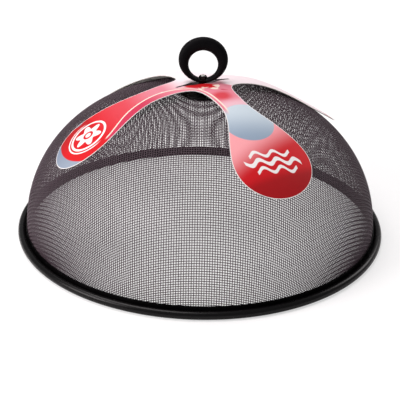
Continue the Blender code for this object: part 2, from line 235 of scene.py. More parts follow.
def shaped(name, body, changes):
    """A mesh joined with, cut by or kept inside other meshes, in turn."""
    piece = placed(name, body)
    tools = []
    for operation, tool_mesh in changes:
        tool = placed(tool_mesh.name, tool_mesh)
        change = piece.modifiers.new(operation.lower(), "BOOLEAN")
        change.operation = operation
        change.object = tool
        change.solver = "EXACT"
        tools.append(tool)
    evaluated = piece.evaluated_get(bpy.context.evaluated_depsgraph_get())
    mesh = bpy.data.meshes.new_from_object(evaluated)
    for item in [piece, *tools]:
        bpy.data.objects.remove(item, do_unlink=True)
    return shaded(mesh)


def boxed(name, low, high):
    """Box between two corners."""
    corners = [(x, y, z) for x in (low[0], high[0]) for y in (low[1], high[1]) for z in (low[2], high[2])]
    faces = [(0, 1, 3, 2), (4, 6, 7, 5), (0, 4, 5, 1), (2, 3, 7, 6), (0, 2, 6, 4), (1, 5, 7, 3)]
    return mesh_from(name, corners, faces)


def smooth(share):
    """Soft step from 0 to 1."""
    share = np.clip(share, 0.0, 1.0)
    return share * share * (3 - 2 * share)


class Meridian:
    """Line from the handle's axis over the crown, down the wall and on below the rim."""

    def __init__(self, inset):
        flat_share = crown_flat_radius / dome_radius
        height_share = (1 - flat_share ** wall_fullness) ** (1 / crown_fullness)
        rise = (crown_height - collar_height) / height_share
        angle = math.asin(height_share ** (crown_fullness / 2)) * (1 - np.linspace(0, 1, meridian_steps + 1))
        radius = dome_radius * np.cos(angle) ** (2 / wall_fullness)
        height = collar_height + rise * np.sin(angle) ** (2 / crown_fullness)
        spots = np.stack([np.r_[0, radius, dome_radius], np.r_[crown_height, height, -skirt_drop]], -1)
        along = np.gradient(spots, axis=0)
        along /= np.linalg.norm(along, axis=1)[:, None]
        self.outward = np.stack([-along[:, 1], along[:, 0]], -1)
        self.spots = spots - self.outward * inset
        self.lengths = np.r_[0, np.cumsum(np.linalg.norm(np.diff(self.spots, axis=0), axis=1))]
        self.sight = np.arctan2(self.spots[:, 0], self.spots[:, 1] + 2 * skirt_drop)

    def at(self, distance):
        """Radius, height and the outward normal's two parts at distances from the axis."""
        return [np.interp(distance, self.lengths, column)
                for column in (*self.spots.T, *self.outward.T)]

    def point(self, distance, turn, rise=0.0):
        """Spot at a distance and a turn, raised off the line."""
        radius, height, out_r, out_z = self.at(distance)
        radius = radius + out_r * rise
        return np.stack([radius * np.cos(turn), radius * np.sin(turn), height + out_z * rise], -1)

    def normal(self, distance, turn):
        """Outward direction at a distance and a turn."""
        _, _, out_r, out_z = self.at(distance)
        return np.stack([out_r * np.cos(turn), out_r * np.sin(turn), out_z], -1)

    def nearest(self, spots):
        """Distance and turn on the line of spots that lie close to it."""
        radius = np.hypot(spots[:, 0], spots[:, 1])
        sight = np.arctan2(radius, spots[:, 2] + 2 * skirt_drop)
        return np.interp(sight, self.sight, self.lengths), np.arctan2(spots[:, 1], spots[:, 0])


def cloth_crossings(line, count):
    """Where the wires cross in one quarter of a square cloth pressed over the dome.

    Both sets of wires keep their pitch, and only the angle between them changes.
    """
    distance = np.full((count, count), np.nan)
    turn = np.full((count, count), np.nan)
    distance[:, 0] = distance[0, :] = np.arange(count) * wire_pitch
    turn[:, 0], turn[0, :] = 0.0, math.pi / 2
    nudge = wire_pitch / 1000
    for diagonal in range(2, 2 * count - 1):
        i = np.arange(max(1, diagonal - count + 1), min(count, diagonal))
        j = diagonal - i
        left, below, corner = (line.point(distance[p, q], turn[p, q])
                               for p, q in ((i - 1, j), (i, j - 1), (i - 1, j - 1)))
        along, about = line.nearest(left + below - corner)
        for _ in range(solver_rounds):
            spot = line.point(along, about)
            slope = (line.point(along + nudge, about) - line.point(along - nudge, about)) / (2 * nudge)
            swing = np.stack([-spot[:, 1], spot[:, 0], 0 * spot[:, 0]], -1)
            to_left, to_below = spot - left, spot - below
            miss = [(to_left ** 2).sum(-1) - wire_pitch ** 2, (to_below ** 2).sum(-1) - wire_pitch ** 2]
            a, b = 2 * (to_left * slope).sum(-1), 2 * (to_left * swing).sum(-1)
            c, d = 2 * (to_below * slope).sum(-1), 2 * (to_below * swing).sum(-1)
            spread = a * d - b * c
            spread = np.where(np.abs(spread) > 0, spread, np.nan)
            along = along - (miss[0] * d - miss[1] * b) / spread
            about = about - (a * miss[1] - c * miss[0]) / spread
        distance[i, j], turn[i, j] = along, about
    return distance, turn


def tube_mesh(name, runs):
    """Four-sided tubes, wider than high, along runs of (points, normals, flat places)."""
    points, faces, flats = [], [], []
    start = 0
    for spots, normals, places in runs:
        along = np.gradient(spots, axis=0)
        along /= np.linalg.norm(along, axis=1)[:, None]
        side = np.cross(along, normals)
        side /= np.linalg.norm(side, axis=1)[:, None]
        up = np.cross(side, along) * wire_half_height
        side = side * wire_half_width
        ring = np.stack([up - side, up + side, side - up, -up - side], 1)
        points.append((spots[:, None] + ring).reshape(-1, 3))
        flats.append(np.repeat(places, 4, axis=0))
        count = len(spots)
        base, corner = start + 4 * np.arange(count - 1)[:, None], np.arange(4)[None]
        first, other = base + corner, base + (corner + 1) % 4
        faces.append(np.stack([first, first + 4, other + 4, other], -1).reshape(-1, 4))
        last = start + 4 * (count - 1)
        faces.append(np.array([[start, start + 1, start + 2, start + 3],
                               [last + 3, last + 2, last + 1, last]]))
        start += 4 * count
    points, faces, flats = np.concatenate(points), np.concatenate(faces), np.concatenate(flats)
    mesh = bpy.data.meshes.new(name)
    mesh.vertices.add(len(points))
    mesh.vertices.foreach_set("co", points.astype(np.float32).ravel())
    mesh.loops.add(faces.size)
    mesh.loops.foreach_set("vertex_index", faces.astype(np.int32).ravel())
    mesh.polygons.add(len(faces))
    mesh.polygons.foreach_set("loop_start", np.arange(0, faces.size, 4, dtype=np.int32))
    mesh.update(calc_edges=True)
    mesh.shade_smooth()
    layer = mesh.uv_layers.new(name="OFBake")
    layer.data.foreach_set("uv", flats[faces.ravel()].astype(np.float32).ravel())
    return mesh


def cloth_runs(line):
    """Every wire of the cloth as runs of quarter-pitch samples, warp first and then weft."""
    reach = line.nearest(np.array([[dome_radius, 0, cloth_end_height]]))[0][0]
    count = int(reach / wire_pitch) + 2
    distance, turn = cloth_crossings(line, count)
    held = np.isfinite(distance) & (distance <= reach)
    spots, normals = line.point(distance, turn), line.normal(distance, turn)
    sets = []
    for flip in (False, True):
        wires = []
        for wire in range(1 - count, count):
            row = abs(wire)
            free = held[:, row] if flip else held[row]
            last = int(np.argmin(free)) if not free.all() else count
            if last < 3:
                continue
            step = np.r_[np.arange(last - 1, 0, -1), np.arange(last)]
            sign = np.r_[-np.ones(last - 1), np.ones(last)]
            spot = (spots[step, row] if flip else spots[row, step]).copy()
            normal = (normals[step, row] if flip else normals[row, step]).copy()
            across, ahead = (1, 0) if flip else (0, 1)
            side = 1 if wire >= 0 else -1
            for item in (spot, normal):
                item[:, ahead] *= sign
                item[:, across] *= side
            place = np.empty((len(step), 2))
            place[:, ahead] = sign * step
            place[:, across] = wire
            over = np.where((sign * step + wire) % 2 == 0, 1.0, -1.0) * (-1 if flip else 1)
            wires.append(quarter_samples(spot, normal, place / (2 * count) + 0.5, over))
        sets.append([run for parts in wires for run in parts])
    return sets


def quarter_samples(spots, normals, places, over):
    """Samples a quarter pitch before and after each crossing, raised or sunk, clear of the screw."""
    def between(values, share):
        return values[:-1] * (1 - share) + values[1:] * share

    def woven(values):
        return np.stack([between(values, 0.25), between(values, 0.75)], 1).reshape(-1, values.shape[-1])

    height = np.stack([over[:-1], over[1:]], 1).reshape(-1, 1) * wire_weave_rise
    normal = woven(normals)
    normal /= np.linalg.norm(normal, axis=1)[:, None]
    spot = woven(spots) + normal * height
    place = woven(places)
    free = np.hypot(spot[:, 0], spot[:, 1]) > screw_clearance
    cuts = np.flatnonzero(np.diff(free.astype(int))) + 1
    parts = zip(np.split(free, cuts), np.split(spot, cuts), np.split(normal, cuts), np.split(place, cuts))
    return [(s, n, p) for kept, s, n, p in parts if kept[0] and len(s) > 1]


def hoop_outline():
    """Section of the hoop: outer leg, fold, bead, flat bottom, inner leg."""
    middle = strip_thickness / 2
    fold_radius = (groove_width + strip_thickness) / 2
    collar_line = collar_radius - middle
    leg_line = inner_leg_radius - middle
    path = [(collar_line, collar_height)]
    path += arc(collar_line + fold_radius, bead_radius, fold_radius, 180, 360, 10)
    path += arc(bead_centre, bead_radius, bead_radius - middle, 180, -90, 40)[1:]
    path += arc(leg_line + inner_bend_radius, middle + inner_bend_radius, inner_bend_radius, 270, 180, 8)
    path.append((leg_line, inner_leg_height))
    return thicken(path, strip_thickness)


def plate_outline(low, high, edge_round):
    """Flat ring on the screw with rounded outer edges, filling a box of the part."""
    radius, steps = high.x, 6
    line = [(screw_hole_radius, low.z)]
    line += arc(radius - edge_round, low.z + edge_round, edge_round, -90, 0, steps)
    line += arc(radius - edge_round, high.z - edge_round, edge_round, 0, 90, steps)
    line.append((screw_hole_radius, high.z))
    return line


def threaded_screw():
    """Pan-head screw, head down, with a rolled thread and a cross recess."""
    steps, rows_per_turn = 32, 6
    shank_low, shank_high = screw_low.z + screw_head_height, screw_high.z
    count = int((shank_high - shank_low) / thread_pitch * rows_per_turn)
    heights = np.linspace(shank_low, shank_high, count)
    angles = np.arange(steps) * math.tau / steps
    phase = heights[:, None] / thread_pitch - angles[None] / math.tau
    groove = np.abs((phase % 1.0) * 2 - 1) * thread_depth
    limit = screw_radius - np.clip(2 * thread_depth - (shank_high - heights), 0, None)[:, None]
    radius = np.minimum(screw_radius - groove, limit)
    points = np.stack([radius * np.cos(angles), radius * np.sin(angles),
                       np.repeat(heights[:, None], steps, 1)], -1).reshape(-1, 3)
    faces = loop_faces(count, steps, around=False)
    faces.append(list(reversed(range(steps))))
    faces.append([(count - 1) * steps + step for step in range(steps)])
    shank = mesh_from("shank", points, faces, crease=60)

    head_radius = screw_high.x
    side = screw_head_height * head_rounding
    line = [(screw_radius / 2, shank_low), (head_radius, shank_low)]
    line += arc(head_radius - side, screw_low.z + side, side, 0, -90, 8)
    line.append((screw_radius / 2, screw_low.z))
    head = turned("head", line, bore_steps)
    bits = []
    for name, half_x, half_y in (("bit_x", recess_reach, recess_half_width),
                                 ("bit_y", recess_half_width, recess_reach)):
        bits.append(("DIFFERENCE", boxed(name, (-half_x, -half_y, screw_low.z - recess_depth),
                                         (half_x, half_y, screw_low.z + recess_depth))))
    head = shaped("head", head, bits)
    return joined("handle_screw", [head, shank])


def joined(name, meshes):
    """Several meshes as one."""
    bm = bmesh.new()
    for mesh in meshes:
        bm.from_mesh(mesh)
    made = bpy.data.meshes.new(name)
    bm.to_mesh(made)
    bm.free()
    return shaded(made, crease=40)


def rod(radius, low, high):
    """Outline of a plain rod on the axis."""
    return [(near_axis, low), (radius, low), (radius, high), (near_axis, high)]


def hexagon_nut():
    """Hexagon nut with chamfered corners and a countersunk thread hole."""
    corner_radius = nut_half_flats / math.cos(math.pi / 6)
    chamfer = (corner_radius - nut_half_flats) * nut_chamfer_share
    turns = [math.pi * side / 3 for side in range(6)]
    spots = [(corner_radius * math.cos(turn), corner_radius * math.sin(turn), height)
             for height in (nut_low.z, nut_high.z) for turn in turns]
    faces = [tuple(reversed(range(6))), tuple(range(6, 12))]
    faces += [(side, (side + 1) % 6, (side + 1) % 6 + 6, side + 6) for side in range(6)]
    body = mesh_from("nut_body", spots, faces)
    wide = corner_radius + chamfer
    cone = [(near_axis, nut_low.z - chamfer), (wide, nut_low.z - chamfer), (wide, nut_high.z - 2 * chamfer),
            (nut_half_flats - chamfer / 2, nut_high.z), (near_axis, nut_high.z)]
    sink = nut_countersink
    hole = [(near_axis, nut_low.z - sink), (screw_radius, nut_low.z - sink),
            (screw_radius, nut_high.z - sink), (screw_radius + 2 * sink, nut_high.z + sink),
            (near_axis, nut_high.z + sink)]
    return shaped("handle_nut", body, [("INTERSECT", turned("cone", cone, round_steps)),
                                       ("DIFFERENCE", turned("hole", hole, bore_steps))])


def ring_handle():
    """Eccentric ring on a flared neck and foot plate, with a nut seat in its finger hole."""
    ring_steps, section_steps = 144, 48
    turns = np.arange(ring_steps) * math.tau / ring_steps
    sides = np.arange(section_steps) * math.tau / section_steps
    power = 2 / ring_section_fullness
    across = np.sign(np.cos(sides)) * np.abs(np.cos(sides)) ** power
    deep = np.sign(np.sin(sides)) * np.abs(np.sin(sides)) ** power * ring_depth / 2
    outer = np.stack([ring_half_width * np.cos(turns), ring_centre + ring_half_height * np.sin(turns)], -1)
    inner = np.stack([finger_hole_radius * np.cos(turns),
                      finger_hole_centre + finger_hole_radius * np.sin(turns)], -1)
    middle, reach = (outer + inner) / 2, (outer - inner) / 2
    flat = middle[:, None] + reach[:, None] * across[None, :, None]
    points = np.stack([flat[..., 0], np.broadcast_to(deep, flat.shape[:2]), flat[..., 1]], -1)
    ring = mesh_from("ring", points.reshape(-1, 3), loop_faces(ring_steps, section_steps))

    wall_middle = (ring_bottom + nut_seat) / 2
    edge, root = foot_edge_radius, foot_root_radius
    foot = [(near_axis, foot_bottom), (foot_plate_radius, foot_bottom)]
    foot += arc(foot_plate_radius - edge, foot_bottom + foot_plate_height - edge, edge, 0, 90, 6)
    foot += arc(neck_radius + root, foot_bottom + foot_plate_height + root, root, -90, -180, 6)[1:]
    foot += [(neck_radius, wall_middle), (near_axis, wall_middle)]
    seat = rod(nut_seat_radius, nut_seat, nut_high.z)
    hole = rod(screw_hole_radius, disc_low.z, nut_high.z)
    return shaped("handle_ring", ring, [("UNION", turned("foot", foot, round_steps)),
                                        ("DIFFERENCE", turned("seat", seat, round_steps)),
                                        ("DIFFERENCE", turned("bore", hole, bore_steps))])


def turned_point(distance, offset, degrees):
    """Flat point at a distance along a direction and an offset to its left."""
    angle = math.radians(degrees)
    return (distance * math.cos(angle) - offset * math.sin(angle),
            distance * math.sin(angle) + offset * math.cos(angle))


def lobe_points(direction, half_width, reach):
    """Right flank, round end and left flank of one arm, from waist to waist."""
    flank = []
    for share in np.arange(flank_steps) / flank_steps:
        distance = waist_distance + (lobe_distance - waist_distance) * share
        widening = (half_width - waist_half_width) * float(smooth(share))
        flank.append((distance, waist_half_width + widening))
    points = [turned_point(distance, -width, direction) for distance, width in flank]
    for angle in np.linspace(-math.pi / 2, math.pi / 2, lobe_steps + 1):
        points.append(turned_point(lobe_distance + (reach - lobe_distance) * math.cos(angle),
                                   half_width * math.sin(angle), direction))
    points += [turned_point(distance, width, direction) for distance, width in reversed(flank)]
    return points


def notch_points(first, second, nearest):
    """Curve from the left of one waist to the right of the next."""
    half_turn = math.radians(second - first) / 2
    opening = waist_distance * math.cos(half_turn) + waist_half_width * math.sin(half_turn)
    middle_weight = 0.75  # of a cubic curve's two inner points at its middle
    pull = (opening - nearest) / (math.cos(half_turn) * middle_weight)
    ends = np.array([turned_point(waist_distance, waist_half_width, first),
                     turned_point(waist_distance - pull, waist_half_width, first),
                     turned_point(waist_distance - pull, -waist_half_width, second),
                     turned_point(waist_distance, -waist_half_width, second)])
    points = []
    for t in np.arange(1, notch_steps) / notch_steps:
        shares = np.array([(1 - t) ** 3, 3 * t * (1 - t) ** 2, 3 * t * t * (1 - t), t ** 3])
        points.append(tuple(shares @ ends))
    return points


def card_outline():
    """The four arms and the notches between them, in one loop."""
    arms = ((front_right_arm, wide_lobe, right_notch), (back_right_arm, back_right_lobe, back_notch),
            (back_left_arm, wide_lobe, left_notch), (front_left_arm, front_left_lobe, front_notch))
    directions = [arm[0] for arm in arms] + [front_right_arm + 360]
    points = []
    for (direction, lobe, notch), following in zip(arms, directions[1:]):
        points += lobe_points(direction, *lobe)
        points += notch_points(direction, following, notch)
    return points


def slit_outline():
    """The slit, spread by the handle's neck in its middle and closed at both ends."""
    side = []
    for share in np.arange(slit_steps) / (slit_steps / 2) - 1:
        side.append((slit_half_length * share, slit_half_width * (1 - share * share) ** slit_sharpness))
    loop = [(along, -width) for along, width in side] + [(-along, width) for along, width in side]
    return [turned_point(along, width, slit_direction) for along, width in loop]


def inside(points, loop):
    """Which flat points lie inside a closed loop."""
    ends = np.roll(loop, -1, axis=0)
    found = np.zeros(len(points), bool)
    for (x0, y0), (x1, y1) in zip(loop, ends):
        if y0 != y1:
            spans = (y0 > points[:, 1]) != (y1 > points[:, 1])
            found ^= spans & (points[:, 0] < x0 + (x1 - x0) * (points[:, 1] - y0) / (y1 - y0))
    return found


def clearance(points, loop):
    """Distance from flat points to a closed loop."""
    best = np.full(len(points), np.inf)
    for start, end in zip(loop, np.roll(loop, -1, axis=0)):
        along = end - start
        share = np.clip(((points - start) @ along) / max(along @ along, 1e-18), 0, 1)
        best = np.minimum(best, np.linalg.norm(points - start - share[:, None] * along, axis=1))
    return best


def card_sheet():
    """Flat corners and triangles of the card."""
    outline, slit = np.array(card_outline()), np.array(slit_outline())
    count = int(back_right_lobe[1] / card_cell) + 2
    rows, columns = np.mgrid[-count:count + 1, -count:count + 1]
    grid = np.stack([(columns + rows % 2 / 2) * card_cell, rows * card_cell * math.sqrt(3) / 2], -1)
    grid = grid.reshape(-1, 2)
    grid = grid[inside(grid, outline) & ~inside(grid, slit)]
    grid = grid[np.minimum(clearance(grid, outline), clearance(grid, slit)) > card_cell / 2]
    turns, holes = len(outline), len(slit)
    edges = [(index, (index + 1) % turns) for index in range(turns)]
    edges += [(turns + index, turns + (index + 1) % holes) for index in range(holes)]
    spots, _, faces, *_ = delaunay_2d_cdt([Vector(spot) for spot in (*outline, *slit, *grid)],
                                          edges, [], 0, same_point)
    spots = np.array(spots)
    middles = np.array([spots[list(face)].mean(axis=0) for face in faces])
    kept = inside(middles, outline) & ~inside(middles, slit)
    faces = [face for face, keep in zip(faces, kept) if keep]
    for index, face in enumerate(faces):
        a, b, c = (spots[corner] for corner in face)
        if (b[0] - a[0]) * (c[1] - a[1]) - (b[1] - a[1]) * (c[0] - a[0]) < 0:
            faces[index] = face[::-1]
    return spots, faces


def bent_card(line):
    """The card bent over the dome, with print on its upper face and on the cut faces of its slit, where the
    print's dark line is painted shade, and bare board below.
    """
    spots, faces = card_sheet()
    used = sorted({corner for face in faces for corner in face})
    renumber = {corner: index for index, corner in enumerate(used)}
    spots = spots[used]
    faces = [[renumber[corner] for corner in face] for face in faces]
    distance, turn = np.hypot(*spots.T), np.arctan2(spots[:, 1], spots[:, 0])
    bow = np.clip(1 - (distance / card_bow_reach) ** 2, 0, None) ** 2
    tip = (np.clip(distance - proud_start, 0, None) / (back_right_lobe[1] - proud_start)) ** 2
    facing = np.clip(np.cos(turn - math.radians(back_right_arm)), 0, None) ** proud_narrowing
    rise = seat_gap + card_crown_rise * bow + proud_rise * tip * facing
    lower = line.point(distance, turn, rise)
    upper = line.point(distance, turn, rise + card_thickness)
    count = len(spots)
    sides = [side for face in faces for side in zip(face, face[1:] + face[:1])]
    known = set(sides)
    borders = [(a, b) for a, b in sides if (b, a) not in known]
    all_faces = [[corner + count for corner in face] for face in faces]
    all_faces += [face[::-1] for face in faces]
    all_faces += [(a, b, b + count, a + count) for a, b in borders]
    mesh = bpy.data.meshes.new("label_card")
    mesh.from_pydata([tuple(spot) for spot in (*lower, *upper)], [], [tuple(face) for face in all_faces])
    shaded(mesh)
    printed = len(faces)
    for index, face in enumerate(mesh.polygons):
        # Cut faces of the slit take the print, which paints shade on them
        on_slit = index >= 2 * printed and distance[face.vertices[0] % count] < slit_shade_reach
        face.material_index = 0 if index < printed or on_slit else 1
    flat = np.tile(spots, (2, 1))
    places = mesh.attributes.new("card_place", "FLOAT_VECTOR", "POINT")
    places.data.foreach_set("vector", np.c_[flat, np.zeros(len(flat))].astype(np.float32).ravel())
    margin = clearance(spots, np.array(card_outline()))
    margins = mesh.attributes.new("card_margin", "FLOAT", "POINT")
    margins.data.foreach_set("value", np.tile(margin, 2).astype(np.float32))
    reach = 2.1 * back_right_lobe[1]
    layer = mesh.uv_layers.new(name="OFBake")
    for face in mesh.polygons:
        shift = 0.5 * face.material_index
        for loop in face.loop_indices:
            x, y = flat[mesh.loops[loop].vertex_index]
            layer.data[loop].uv = ((x / reach + 0.5) / 2 + shift, y / reach + 0.5)
    return mesh


# Finishes


def tint(red, green, blue):
    """A screen colour from 0 to 255 as the linear colour that a shader takes."""
    shares = [value / 255 for value in (red, green, blue)]
    return tuple(share / 12.92 if share <= 0.04045 else ((share + 0.055) / 1.055) ** 2.4
                 for share in shares) + (1.0,)


def maths_on(operation, swapped=False):
    """Method of a level that adds one maths node, with the level's own value first unless swapped."""
    def method(level, *others):
        return level.maths(operation, *((*others, level) if swapped else (level, *others)))
    return method


class Level:
    """A varying value of a finish; sums, products and the like add maths nodes."""

    def __init__(self, tree, socket):
        self.tree = tree
        self.socket = socket

    def maths(self, operation, *items):
        node = self.tree.nodes.new("ShaderNodeMath")
        node.operation = operation
        for slot, item in zip(node.inputs, items):
            if isinstance(item, Level):
                self.tree.links.new(item.socket, slot)
            else:
                slot.default_value = item
        return Level(self.tree, node.outputs[0])

    def ramp(self, low, high):
        """0 below low, 1 above high and a soft step between; it falls where low is above high."""
        node = self.tree.nodes.new("ShaderNodeMapRange")
        node.interpolation_type = "SMOOTHSTEP"
        node.inputs["From Min"].default_value, node.inputs["From Max"].default_value = low, high
        self.tree.links.new(self.socket, node.inputs["Value"])
        return Level(self.tree, node.outputs[0])

    __add__, __radd__ = maths_on("ADD"), maths_on("ADD", swapped=True)
    __sub__, __rsub__ = maths_on("SUBTRACT"), maths_on("SUBTRACT", swapped=True)
    __mul__, __rmul__ = maths_on("MULTIPLY"), maths_on("MULTIPLY", swapped=True)
    __truediv__, __pow__, __abs__ = maths_on("DIVIDE"), maths_on("POWER"), maths_on("ABSOLUTE")
    least, most = maths_on("MINIMUM"), maths_on("MAXIMUM")
    sine, root = maths_on("SINE"), maths_on("SQRT")


class Wiring:
    """The nodes of one tree, whose outputs come back as levels."""

    def __init__(self, owner):
        owner.use_nodes = True
        self.tree = owner.node_tree

    def node(self, kind, output=0, settings=None, values=None):
        """Any node but the maths, with its settings and its inputs as numbers or levels."""
        made = self.tree.nodes.new(kind)
        for key, value in (settings or {}).items():
            setattr(made, key, value)
        for key, value in (values or {}).items():
            if isinstance(value, Level):
                self.tree.links.new(value.socket, made.inputs[key])
            else:
                made.inputs[key].default_value = value
        return Level(self.tree, made.outputs[output])


class Finish(Wiring):
    """One material: constants on the shader's own sockets, and nodes for all that varies."""

    def __init__(self, name, metallic=0.0, shine=0.5):
        self.material = bpy.data.materials.new(name)
        super().__init__(self.material)
        self.shader = self.tree.nodes["Principled BSDF"]
        self.shader.inputs["Metallic"].default_value = metallic
        self.shader.inputs["Specular IOR Level"].default_value = shine

    def place(self):
        return self.node("ShaderNodeTexCoord", "Object")

    def grain(self, size, detail, place=None, stretch=None):
        """Noise whose features are about a size in metres, from 0 to 1."""
        spot = place or self.place()
        if stretch:
            spot = self.node("ShaderNodeVectorMath", 0, {"operation": "MULTIPLY"}, {0: spot, 1: stretch})
        return self.node("ShaderNodeTexNoise", "Fac", None,
                         {"Vector": spot, "Scale": 1 / size, "Detail": detail})

    def blend(self, share, first, second):
        return self.node("ShaderNodeMix", 2, {"data_type": "RGBA"}, {0: share, 6: first, 7: second})

    def feed(self, name, level):
        self.tree.links.new(level.socket, self.shader.inputs[name])

    def relief(self, height, depth, strength):
        """Bump from a height between 0 and 1 that stands for a depth in metres."""
        self.feed("Normal", self.node("ShaderNodeBump", 0, None,
                                      {"Height": height, "Distance": depth, "Strength": strength}))


def gloss_paint():
    """Baked black enamel: soft orange peel, a little dust and uneven gloss."""
    finish = Finish("black_paint", shine=0.2)
    clouds = finish.grain(18 * mm, 3.0)
    dust = finish.grain(0.9 * mm, 1.0).ramp(0.70, 0.78) * clouds.ramp(0.45, 0.65)
    black, worn, dusty = tint(6, 5, 6), tint(11, 10, 11), tint(60, 56, 56)
    finish.feed("Base Color", finish.blend(dust * 0.3, finish.blend(clouds, black, worn), dusty))
    finish.feed("Roughness", 0.20 + 0.14 * clouds + 0.25 * dust)
    finish.relief(finish.grain(1.6 * mm, 1.0), 0.02 * mm, 0.6)
    return finish.material


def wire_paint():
    """Thin paint on drawn wire, a dark grey with a little violet, and paler specks."""
    finish = Finish("wire_paint", shine=0.4)
    clouds = finish.grain(25 * mm, 3.0)
    specks = finish.grain(0.6 * mm, 2.0)
    dark, thin, speck = tint(58, 43, 51), tint(76, 59, 69), tint(104, 90, 96)
    ground = finish.blend(clouds, dark, thin)
    finish.feed("Base Color", finish.blend(specks.ramp(0.55, 0.75) * 0.4, ground, speck))
    finish.feed("Roughness", 0.36 + 0.2 * specks)
    return finish.material


def moulded_plastic():
    """Satin black plastic with a fine grain and the mould's parting line round the ring."""
    finish = Finish("black_plastic", shine=0.07)
    clouds = finish.grain(9 * mm, 2.0)
    grain = finish.grain(0.35 * mm, 2.0)
    across = finish.node("ShaderNodeSeparateXYZ", 1, None, {0: finish.place()})
    parting = 1 - abs(across).ramp(0.04 * mm, 0.16 * mm)
    black, worn = tint(4, 3, 5), tint(9, 8, 11)
    finish.feed("Base Color", finish.blend(clouds, black, worn))
    finish.feed("Roughness", 0.48 + 0.10 * clouds + 0.06 * grain)
    finish.relief(0.25 * grain + parting, 0.05 * mm, 0.5)
    return finish.material


def plated_zinc():
    """Bright zinc with faint turning marks and a milky passivated bloom."""
    finish = Finish("zinc_plate", metallic=1.0)
    bloom = finish.grain(1.2 * mm, 3.0)
    marks = finish.grain(0.12 * mm, 1.0, stretch=(0.1, 0.1, 1.0))
    bright, milky = tint(204, 205, 202), tint(232, 230, 226)
    finish.feed("Base Color", finish.blend(bloom, bright, milky))
    finish.feed("Roughness", 0.42 + 0.2 * bloom + 0.08 * marks)
    finish.relief(marks, 0.01 * mm, 0.4)
    return finish.material


def bare_board():
    """White board of the card's back and cut edges, with paper fibres."""
    finish = Finish("bare_board", shine=0.3)
    fibres = finish.grain(0.5 * mm, 3.0, stretch=(1.0, 0.35, 1.0))
    clouds = finish.grain(14 * mm, 2.0)
    shaded_white, clean_white = tint(214, 211, 204), tint(238, 236, 231)
    finish.feed("Base Color", finish.blend(fibres * 0.6 + clouds * 0.4, shaded_white, clean_white))
    finish.feed("Roughness", 0.66 + 0.16 * fibres)
    finish.relief(fibres, 0.03 * mm, 0.5)
    return finish.material


class Arm:
    """Levels along and across one arm of the card, in millimetres."""

    def __init__(self, x, y, degrees):
        angle = math.radians(degrees)
        self.along = x * math.cos(angle) + y * math.sin(angle)
        self.across = y * math.cos(angle) - x * math.sin(angle)

    def oval(self, along, across, half_along, half_across):
        """1 on an oval's edge, less inside it."""
        reach = (self.along - along) / half_along
        width = (self.across - across) / half_across
        return (reach * reach + width * width).root()


# Colours of the print, with the dark line's colour standing for painted shade along the slit
pale, blush, coral = tint(251, 237, 241), tint(226, 134, 150), tint(210, 70, 81)
red, deep_red, magenta = tint(206, 25, 34), tint(170, 23, 29), tint(196, 54, 84)
neck_pink, arm_pink, panel_pink = tint(218, 134, 148), tint(234, 188, 199), tint(250, 168, 174)
cream, white, slit_shade_colour = tint(246, 226, 210), tint(246, 244, 243), tint(44, 34, 38)
# The oval's blue: paler near the crown, and darker towards the arm's end as painted shade
panel_blue_shaded, panel_blue_lit = tint(147, 166, 186), tint(200, 214, 223)
dark_grey, mid_grey = tint(122, 136, 155), tint(148, 160, 175)
ink_shadow = tint(60, 40, 44)


